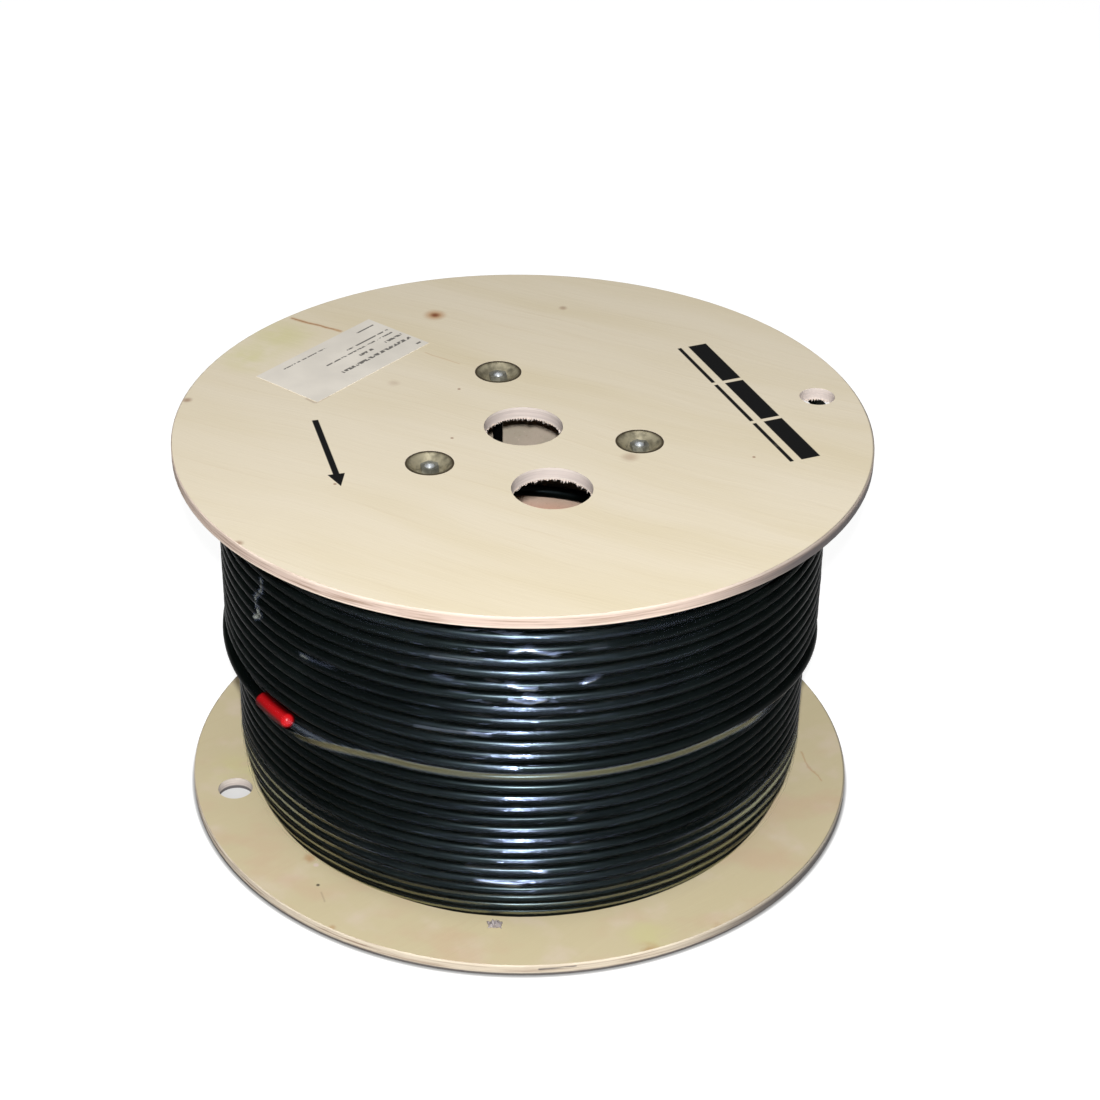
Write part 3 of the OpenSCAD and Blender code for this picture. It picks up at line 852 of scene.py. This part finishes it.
class FilmShape:
    """The film's radius at each direction and height, its gathered plies and which layer it hugs.

    Angles past the front are in radians, and shares are parts of the skirt's height."""

    cap_rise, cap_half = 3.6 * MM, 7 * MM  # the bulge over the capped end
    edge_drop = 1.5 * MM  # middle of the lowest outer turn to the skirt's upper edge
    sag_share, most_sag = 0.1, 2 * MM  # of the gap between the last tight turn and the loose one
    foot_clear = 1.5 * MM  # film to the sunken turns, beyond its usual gap
    hang = 0.51  # how the skirt's slope changes downwards
    right_end, right_fade = 0.82, 0.14  # where the gathered plies end at the right
    band_end, band_fade = 0.22, 0.16  # how far down the skirt the gathered plies reach

    def __init__(self, cable, film):
        self.cable = cable
        self.film = film
        self.part_crest = cable.part_r + cable.diameter / 2 + film.gap
        self.full_crest = cable.full_r + cable.diameter / 2 + film.gap

    def cap_bulge(self, past, z):
        """Extra radius where the film passes over the capped end, which it leaves as a tent."""
        along = past - self.cable.loose_angle
        window = rise(along, -0.26, 0.12) * (1 - rise(along, 0.02, 0.3))
        off = (z - loose_height(self.cable, past)) / self.cap_half
        return window * math.exp(-off * off) * self.cap_rise

    def top_bulge(self, theta, z):
        """Extra radius over the stretch of the top turn that strays outwards."""
        cable = self.cable
        aside = (theta - cable.stray_angle + math.pi) % FULL_TURN - math.pi
        out = max(1 - (aside / cable.stray_half) ** 2, 0) * cable.stray
        return out * rise(z, INNER_TOP_Z - 2.2 * cable.diameter, cable.diameter)

    def at(self, theta, z):
        """Radius, gathered plies, hold on the part layer and hold on the full layer."""
        cable, film = self.cable, self.film
        past = (theta - cable.front_angle) % FULL_TURN
        leave = loose_height(cable, past) - self.edge_drop
        tight = cable.leave_z + cable.part_pitch * (1 - past / FULL_TURN)
        crest = self.part_crest + self.cap_bulge(past, z) + self.top_bulge(theta, z)
        if z >= leave:
            span = max(tight - leave, MM)
            most = min(span * self.sag_share, self.most_sag)
            sag = math.sin(math.pi * min((z - leave) / span, 1)) * most
            return crest - sag, 0.0, rise(z, leave, span), 0.0
        side = rise(past, 0, 1.4) * rise(FULL_TURN - past, 0, 1.0)
        skirt = film.skirt_front + (film.skirt_side - film.skirt_front) * side
        fall = (leave - z) / skirt
        if fall >= 1:
            low = max(1 - (z - FLANGE_T) / (cable.foot_turns * cable.full_pitch), 0)
            return self.full_crest - low * low * cable.foot_sink + low * self.foot_clear, 0.0, 0.0, 1.0
        step = crest - self.full_crest
        power = self.hang * skirt / step
        right = 1 - rise(past, self.right_end, self.right_fade)
        left = rise(past, cable.loose_angle + 0.05, 0.06)
        band = rise(fall, 0, 0.04) * (1 - rise(fall, self.band_end, self.band_fade))
        return self.full_crest + step * (1 - fall) ** power, band * max(right, left), 0.0, rise(fall, 0.7, 0.3)


# Creases of the film, each as points of direction in degrees and height in mm, and its rise in mm
CREASES = (
    (((216.2, 200.3), (216.3, 194.0), (213.5, 184.1), (214.2, 178.4)), 0.45),
    (((214.2, 178.4), (215.1, 175.4), (213.1, 170.5)), 0.9),
    (((227.2, 167.9), (228.8, 168.1)), 0.5),
    (((228.8, 168.1), (234.9, 169.7)), 0.15),
    (((254.9, 183.1), (257.8, 182.7)), 0.3),
    (((281.0, 182.0), (283.2, 183.8)), 0.9),
    (((268.6, 203.5), (271.0, 205.5), (274.5, 202.2), (276.0, 200.5)), 1.0),
    (((268.0, 182.5), (270.2, 180.0), (272.5, 179.6)), 1.0),
    (((268.4, 172.8), (271.5, 170.0), (274.0, 172.5), (271.0, 175.0)), 1.0),
    (((261.0, 149.5), (264.5, 148.3)), 0.5),
    (((260.2, 51.6), (266.5, 51.4), (271.1, 52.5), (275.1, 49.3)), 0.4),
    (((262.3, 43.1), (270.2, 41.0)), 0.6),
)
# Short stretches where plies gather, in the same form, with their strength
GATHERS = (
    (((223.5, 118.2), (228.7, 117.3), (233.5, 116.6)), 0.45),
    (((254.6, 196.5), (263.0, 197.0)), 0.6),
    (((251.7, 148.1), (261.4, 148.8)), 0.4),
    (((281.8, 204.3), (284.8, 203.7)), 0.5),
)


# How far a crease and a gathered stretch reach to each side in mm, and the film's girth in mm per degree
CREASE_REACH = 1.3
GATHER_REACH = 1.1
FILM_ARC = 3.1


def film_marks(theta, z, marks, reach):
    """Strength of the strongest mark near a place on the film."""
    here = Vector((math.degrees(theta) % 360 * FILM_ARC, z / MM))
    strongest = 0.0
    for points, strength in marks:
        line = [Vector((point[0] * FILM_ARC, point[1])) for point in points]
        nearest = min(distance_to_line(here, a, b) for a, b in zip(line, line[1:]))
        strongest = max(strongest, strength * math.exp(-(nearest / reach) ** 2))
    return strongest


def film_direction(share):
    """Direction of a film column; most of the columns lie in the front half."""
    front = 0.7
    if share < front:
        return math.pi * (1 + share / front)
    return math.pi * (share - front) / (1 - front)


def distance_to_line(point, start, end):
    run = end - start
    along = min(max((point - start).dot(run) / run.length_squared, 0), 1)
    return (point - start - run * along).length


def grid_faces(columns, rows, closed):
    """Quads between points laid row by row; a closed grid joins its last column to its first."""
    width = columns if closed else columns + 1
    faces = []
    for row in range(rows):
        for column in range(columns):
            a, b = row * width + column, row * width + (column + 1) % width
            faces.append((a, b, b + width, a + width))
    return faces


def thicken(piece, thickness):
    """Gives a sheet its wall, outwards."""
    wall = piece.modifiers.new("wall", "SOLIDIFY")
    wall.thickness = thickness
    wall.offset = 1.0


def plain_mesh(name, points, faces, material, smooth=True):
    mesh = bpy.data.meshes.new(name)
    mesh.from_pydata([tuple(p) for p in points], [], faces)
    mesh.materials.append(material)
    mesh.polygons.foreach_set("use_smooth", [smooth] * len(mesh.polygons))
    mesh.update()
    piece = bpy.data.objects.new(name, mesh)
    bpy.context.scene.collection.objects.link(piece)
    return piece


def settle(piece, slot, *nodes):
    """The piece rides on the drum and stands for the CAD nodes, which it hides; its slot is not used."""
    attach(piece, "root")
    if nodes:
        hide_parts(*nodes)


def dress(material, *starts):
    """Gives a material to every CAD node whose name begins with one of the words."""
    found = [node for name, node in frame["nodes"].items() if name.startswith(starts)]
    if not found:
        raise RuntimeError(f"no CAD node begins with {starts}")
    for node in found:
        node.data.materials.clear()
        node.data.materials.append(material)


class DRUM_OT_effects(bpy.types.Operator):
    """Build the shader groups that several finishes share."""

    bl_idname = "drum.effects"
    bl_label = "Shared effects"

    def execute(self, context):
        build_veneer_group()
        build_edge_group()
        build_scuff_group()
        build_fold_group()
        return {"FINISHED"}


class DRUM_OT_wood(bpy.types.Operator):
    """Finish the two flanges and the barrel."""

    bl_idname = "drum.wood"
    bl_label = "Flanges and barrel"

    def execute(self, context):
        wood = context.scene.drum_wood
        low_turn = wood.grain_angle + math.radians(70)
        low_foot_shade = 2.8 * MM
        upper = plywood(
            "plywood_upper", wood, wood.face, (wood.core, wood.edge), INNER_TOP_Z, wood.grain_angle, upper_marks)
        lower = plywood(
            "plywood_lower", wood, wood.low_face, (wood.low_core, wood.low_edge), 0.0, low_turn, lower_marks,
            low_foot_shade)
        dress(upper, "top_flange")
        dress(lower, "bottom_flange")
        dress(fibreboard(wood), "barrel")
        return {"FINISHED"}


# Holes with torn lower edges: name, mount, slivers and seed
TORN_HOLES = (
    ("arbor", "arbor_bore", 90, 3), ("drive", "drive_hole_top", 90, 8), ("rim", "rim_hole_top", 44, 5),
)


class DRUM_OT_splinters(bpy.types.Operator):
    """Add torn slivers of veneer at the lower edges of the bored holes."""

    bl_idname = "drum.splinters"
    bl_label = "Hole splinters"

    def execute(self, context):
        wood = context.scene.drum_wood
        material = plywood(
            "plywood_sliver", wood, wood.edge, (wood.core, wood.edge), INNER_TOP_Z, wood.grain_angle, bare_marks)
        tree = build_splinter_tree()
        for name, mount, slivers, seed in TORN_HOLES:
            bore = BORES[mount]
            centre = Vector((*bore["pos_m"][:2], INNER_TOP_Z))
            piece = grow(f"{name}_hole_splinters", tree, {
                "Slivers": slivers, "Hole Radius": bore["dims"]["r_mm"] * MM, "Centre": centre,
                "Length": 2.6 * MM, "Width": 0.7 * MM, "Seed": seed, "Material": material})
            settle(piece, "plywood")
        return {"FINISHED"}


def build_splinter_tree():
    """Thin slivers that hang at random lengths from a circle."""
    tree, given, out = geometry_tree("hole_splinters", {
        "Slivers": "NodeSocketInt", "Hole Radius": "NodeSocketFloat", "Centre": "NodeSocketVector",
        "Length": "NodeSocketFloat", "Width": "NodeSocketFloat", "Seed": "NodeSocketInt",
        "Material": "NodeSocketMaterial"})
    ring = put(tree, "GeometryNodeMeshCircle", {"Vertices": given["Slivers"], "Radius": given["Hole Radius"]})
    placed = put(tree, "GeometryNodeSetPosition", {"Geometry": ring.outputs[0], "Offset": given["Centre"]})
    sliver = put(tree, "GeometryNodeMeshCone", {
        "Vertices": 4, "Radius Top": 0.0, "Radius Bottom": given["Width"], "Depth": given["Length"]})
    smallest, largest = (0.5, 0.4, 0.08), (1.6, 1.0, 1.0)
    grown = put(tree, "FunctionNodeRandomValue", {0: smallest, 1: largest, "Seed": given["Seed"]},
                data_type="FLOAT_VECTOR")
    lean = 0.5
    leaned = put(tree, "FunctionNodeRandomValue", {
        0: (math.pi - lean, -lean, 0.0), 1: (math.pi + lean, lean, FULL_TURN), "Seed": given["Seed"] + 1.0},
        data_type="FLOAT_VECTOR")
    spread = put(tree, "GeometryNodeInstanceOnPoints", {
        "Points": placed.outputs[0], "Instance": sliver.outputs[0],
        "Rotation": leaned.outputs[0], "Scale": grown.outputs[0]})
    close_tree(tree, spread.outputs[0], given["Material"], out)
    return tree


class DRUM_OT_steel(bpy.types.Operator):
    """Finish the tie bolts, nuts and cup washers."""

    bl_idname = "drum.steel"
    bl_label = "Bolts and cups"

    def execute(self, context):
        trim = context.scene.drum_trim
        dress(zinc_steel("zinc_cup", trim.zinc, trim.rim, 0.28), "cup_washer")
        dress(zinc_steel("zinc_nut", trim.nut, trim.nut, 0.35), "tie_nut")
        dress(zinc_steel("zinc_bolt", trim.bolt, trim.shank, 0.18, trim.bolt_crown), "tie_bolt")
        return {"FINISHED"}


class DRUM_OT_cable(bpy.types.Operator):
    """Wind the cable: an under layer, the full layer and the part layer with its loose end."""

    bl_idname = "drum.cable"
    bl_label = "Wound cable"

    def execute(self, context):
        cable = context.scene.drum_cable
        material = cable_jacket("wound_jacket", cable, 0.5)
        dress(cable_jacket("bare_jacket", cable, 0.9), "cable_inner_end")
        dress(cap_plastic(cable), "cable_end_cap")
        tree = build_cable_tree()
        first_z = FLANGE_T + cable.full_pitch / 2
        top_z = INNER_TOP_Z - cable.diameter / 2 - 0.2 * MM
        shared = {
            "Cable Radius": cable.diameter / 2, "Material": material, "Wander": cable.wander,
            "Lowest": first_z - 0.1 * MM, "Highest": top_z,
            "Foot Turns": cable.foot_turns, "Foot Sink": cable.foot_sink, "Foot Stray": cable.foot_stray,
            "Gap Place": cable.gap_place, "Gap Rise": cable.gap_rise,
            "Loose Turns": 0.0, "Drop Start": 0.0, "Drop End": 1.0, "Loose Drop": 0.0, "Loose Lift": 0.0,
            "Top Place": 0.0, "Top Reach": 1.0, "Top Stray": 0.0}
        full = grow("cable_full_layer", tree, {
            **shared, "Points": 19 * 132, "Sides": 12, "First Turn": -1.0, "Turns": 19.0,
            "Zero Angle": cable.front_angle, "Zero Height": first_z, "Rise": cable.full_pitch,
            "Radius": cable.full_r, "Seed": 4.0})
        settle(full, "cable_jacket", "cable_winding")
        under = grow("cable_under_layer", tree, {
            **shared, "Points": 31 * 72, "Sides": 8, "First Turn": -0.5, "Turns": 30.5,
            "Zero Angle": cable.front_angle + math.pi, "Zero Height": first_z, "Rise": cable.full_pitch,
            "Radius": cable.full_r - 0.9 * cable.diameter, "Seed": 4.0})
        settle(under, "cable_jacket")
        tight = (top_z - cable.leave_z) / cable.part_pitch
        loose = cable.loose_angle / FULL_TURN
        under_hole = (cable.front_angle - cable.stray_angle) / FULL_TURN - tight
        part = grow("cable_part_layer", tree, {
            **shared, "Points": 16 * 140, "Sides": 12, "First Turn": -tight - 1, "Turns": tight + 1 + loose,
            "Zero Angle": cable.front_angle, "Zero Height": cable.leave_z, "Rise": -cable.part_pitch,
            "Lowest": 0.0, "Foot Turns": 1.0, "Foot Sink": 0.0, "Foot Stray": 0.0,
            "Radius": cable.part_r + 0.2 * MM, "Loose Turns": loose, "Loose Drop": cable.loose_drop,
            "Drop Start": cable.drop_start / FULL_TURN, "Loose Lift": cable.loose_lift,
            "Drop End": (cable.drop_start + cable.drop_angle) / FULL_TURN,
            "Top Place": under_hole % 1, "Top Reach": cable.stray_half / FULL_TURN, "Top Stray": cable.stray,
            "Seed": 9.0})
        settle(part, "cable_jacket", "cable_outer_end")
        return {"FINISHED"}


class DRUM_OT_film(bpy.types.Operator):
    """Wrap the winding in clear stretch film."""

    bl_idname = "drum.film"
    bl_label = "Stretch film"

    def execute(self, context):
        cable, film = context.scene.drum_cable, context.scene.drum_film
        shape = FilmShape(cable, film)
        low_z = FLANGE_T + cable.full_pitch
        high_z = INNER_TOP_Z - cable.part_pitch * 0.6
        wrinkle_depth = 0.25
        points = []
        traits = {"gather": [], "part_hug": [], "full_hug": [], "crease": []}
        for row in range(film.rows + 1):
            z = low_z + (high_z - low_z) * row / film.rows
            for column in range(film.columns):
                theta = film_direction(column / film.columns)
                c, s = math.cos(theta), math.sin(theta)
                radius, gather, part_hug, full_hug = shape.at(theta, z)
                crease = film_marks(theta, z, CREASES, CREASE_REACH)
                gather = max(gather, film_marks(theta, z, GATHERS, GATHER_REACH))
                wrinkle = noise.noise(Vector((c * 9, s * 9, z * 60))) * wrinkle_depth
                radius += (wrinkle + crease) * MM
                points.append((radius * c, radius * s, z))
                for values, value in zip(traits.values(), (gather, part_hug, full_hug, crease)):
                    values.append(value)
        faces = grid_faces(film.columns, film.rows, closed=True)
        piece = plain_mesh("film_sheet", points, faces, stretch_film(film, cable))
        for name, values in traits.items():
            piece.data.attributes.new(name, "FLOAT", "POINT").data.foreach_set("value", values)
        thicken(piece, film.wall)
        settle(piece, "clear_film", "film_wrap")
        return {"FINISHED"}


class DRUM_OT_scrap(bpy.types.Operator):
    """Drop a crumpled bit of film on the lower flange."""

    bl_idname = "drum.scrap"
    bl_label = "Film scrap"

    def execute(self, context):
        film = context.scene.drum_film
        material, tree, shader = new_material("scrap_film", Base_Color=opaque(film.scrap), Roughness=0.25)
        smudge, fine = use_group(tree, "scuffs", Vector=object_place(tree), Grain=500.0)
        feed(tree, shader, Alpha=0.25 + smudge * 0.5)
        noise.seed_set(film.scrap_seed)
        columns, rows = 18, 14
        middle_x, middle_y, half_x, half_y, lift = -13.6, -168.2, 4.2, 3.0, 0.3  # in mm
        points = []
        for row in range(rows + 1):
            for column in range(columns + 1):
                u, v = 2 * column / columns - 1, 2 * row / rows - 1
                shake = noise.noise_vector(Vector((u * 1.7, v * 1.7, 7.3)))
                fold = abs(noise.noise(Vector((u * 2.4, v * 2.4, 2.1)))) * (1.3 - max(abs(u), abs(v)))
                x = u * half_x + shake.x * 1.6 + middle_x
                y = v * half_y + shake.y * 1.4 + middle_y
                points.append((x * MM, y * MM, FLANGE_T + (lift + fold * 7) * MM))
        piece = plain_mesh("film_scrap", points, grid_faces(columns, rows, closed=False), material)
        thicken(piece, film.wall)
        settle(piece, "clear_film")
        return {"FINISHED"}


class DRUM_OT_label(bpy.types.Operator):
    """Lay the paper label on the upper flange."""

    bl_idname = "drum.label"
    bl_label = "Paper label"

    def execute(self, context):
        low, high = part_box("paper_label")
        dress(label_paper(context.scene.drum_trim, (low + high) / 2), "paper_label")
        return {"FINISHED"}


class DRUM_OT_stage(bpy.types.Operator):
    """Set the floor, lamps and camera."""

    bl_idname = "drum.stage"
    bl_label = "Stage"

    def execute(self, context):
        stage = context.scene.drum_stage
        scene = context.scene
        scene.view_settings.view_transform = "Standard"
        add_floor(stage)
        add_world(scene, stage)
        key_place = (0.0, -stage.camera_back, stage.camera_up + stage.key_rise)
        add_lamp("key_lamp", key_place, stage.key_size, stage.key_power)
        add_lamp("overhead_lamp", stage.overhead_place, stage.overhead_size, stage.overhead_power)
        add_camera(scene, stage)
        return {"FINISHED"}


def add_floor(stage):
    """A floor that shines round the drum, so that it looks white there, with a painted contact shadow at the
    drum's foot and painted light under the drum.
    """
    half = stage.floor_half
    corners = [(-half, -half, 0), (half, -half, 0), (half, half, 0), (-half, half, 0)]
    material, tree, shader = new_material(
        "floor", Base_Color=opaque(stage.floor), Roughness=0.9, Specular_IOR_Level=0.0)
    seen = put(tree, "ShaderNodeLightPath").outputs
    shown = Term(tree, seen["Is Camera Ray"]).most(seen["Is Glossy Ray"]).most(seen["Is Transmission Ray"])
    x, y, z = split(tree, object_place(tree))
    reach = (x * x + y * y).calc("SQRT")
    # Painted contact shadow: the ring from 4 mm inside the rim to 3 mm outside it gets no glow. Painted light: the
    # weaker glow under the drum lights the floor seen through the holes.
    round_drum = reach.ramp(RIM_R, RIM_R + 3 * MM) * stage.floor_glow
    under_drum_painted_light = reach.ramp(RIM_R - 4 * MM, RIM_R - 8 * MM) * stage.painted_glow_under_drum
    glow = put(tree, "ShaderNodeEmission", {"Strength": shown * (round_drum + under_drum_painted_light)})
    lit = put(tree, "ShaderNodeAddShader", [shader.outputs[0], glow.outputs[0]])
    tree.links.new(lit.outputs[0], tree.nodes["Material Output"].inputs["Surface"])
    floor = plain_mesh("floor", corners, [(0, 1, 2, 3)], material, smooth=False)


def add_world(scene, stage):
    world = bpy.data.worlds.new("studio")
    world.use_nodes = True
    light = world.node_tree.nodes["Background"].inputs
    light["Strength"].default_value = stage.studio_light
    light["Color"].default_value = (1, 1, 1, 1)
    scene.world = world


def add_lamp(name, place, size, power):
    data = bpy.data.lights.new(name, "AREA")
    data.size = size
    data.energy = power
    lamp = bpy.data.objects.new(name, data)
    lamp.location = place
    aim = Vector((0, 0, FACE_Z * 0.6)) - Vector(place)
    lamp.rotation_euler = aim.to_track_quat("-Z", "Y").to_euler()
    bpy.context.scene.collection.objects.link(lamp)


def add_camera(scene, stage):
    data = bpy.data.cameras.new("photo_view")
    data.lens = stage.lens
    data.sensor_width = 36.0
    camera = bpy.data.objects.new("photo_view", data)
    turn = Matrix.Rotation(-stage.yaw, 4, "Z") @ Matrix.Rotation(math.pi / 2 - stage.pitch, 4, "X")
    turn = turn @ Matrix.Rotation(stage.roll, 4, "Z")
    camera.matrix_world = Matrix.Translation((0, -stage.camera_back, stage.camera_up)) @ turn
    scene.collection.objects.link(camera)
    scene.camera = camera


class DRUM_PT_panel(bpy.types.Panel):
    """Settings of the drum and the steps that dress it."""

    bl_label = "Cable drum"
    bl_idname = "DRUM_PT_panel"
    bl_space_type = "VIEW_3D"
    bl_region_type = "UI"
    bl_category = "Cable drum"

    def draw(self, context):
        for title in SETTINGS:
            box = self.layout.box()
            settings = getattr(context.scene, title)
            for key in settings.__annotations__:
                box.prop(settings, key)
        for step in STEPS:
            self.layout.operator(step.bl_idname)


SETTINGS = {
    "drum_wood": DRUM_PG_wood,
    "drum_cable": DRUM_PG_cable,
    "drum_film": DRUM_PG_film,
    "drum_trim": DRUM_PG_trim,
    "drum_stage": DRUM_PG_stage,
}
STEPS = (DRUM_OT_effects, DRUM_OT_wood, DRUM_OT_splinters, DRUM_OT_steel, DRUM_OT_cable,
         DRUM_OT_film, DRUM_OT_scrap, DRUM_OT_label, DRUM_OT_stage)


def register():
    for cls in (*SETTINGS.values(), *STEPS, DRUM_PT_panel):
        bpy.utils.register_class(cls)
    for title, cls in SETTINGS.items():
        setattr(bpy.types.Scene, title, PointerProperty(type=cls))


def unregister():
    for title in SETTINGS:
        delattr(bpy.types.Scene, title)
    for cls in (DRUM_PT_panel, *reversed(STEPS), *reversed(SETTINGS.values())):
        bpy.utils.unregister_class(cls)


def main():
    register()
    for step in STEPS:
        group, verb = step.bl_idname.split(".")
        getattr(getattr(bpy.ops, group), verb)()


if __name__ == "__main__":
    main()
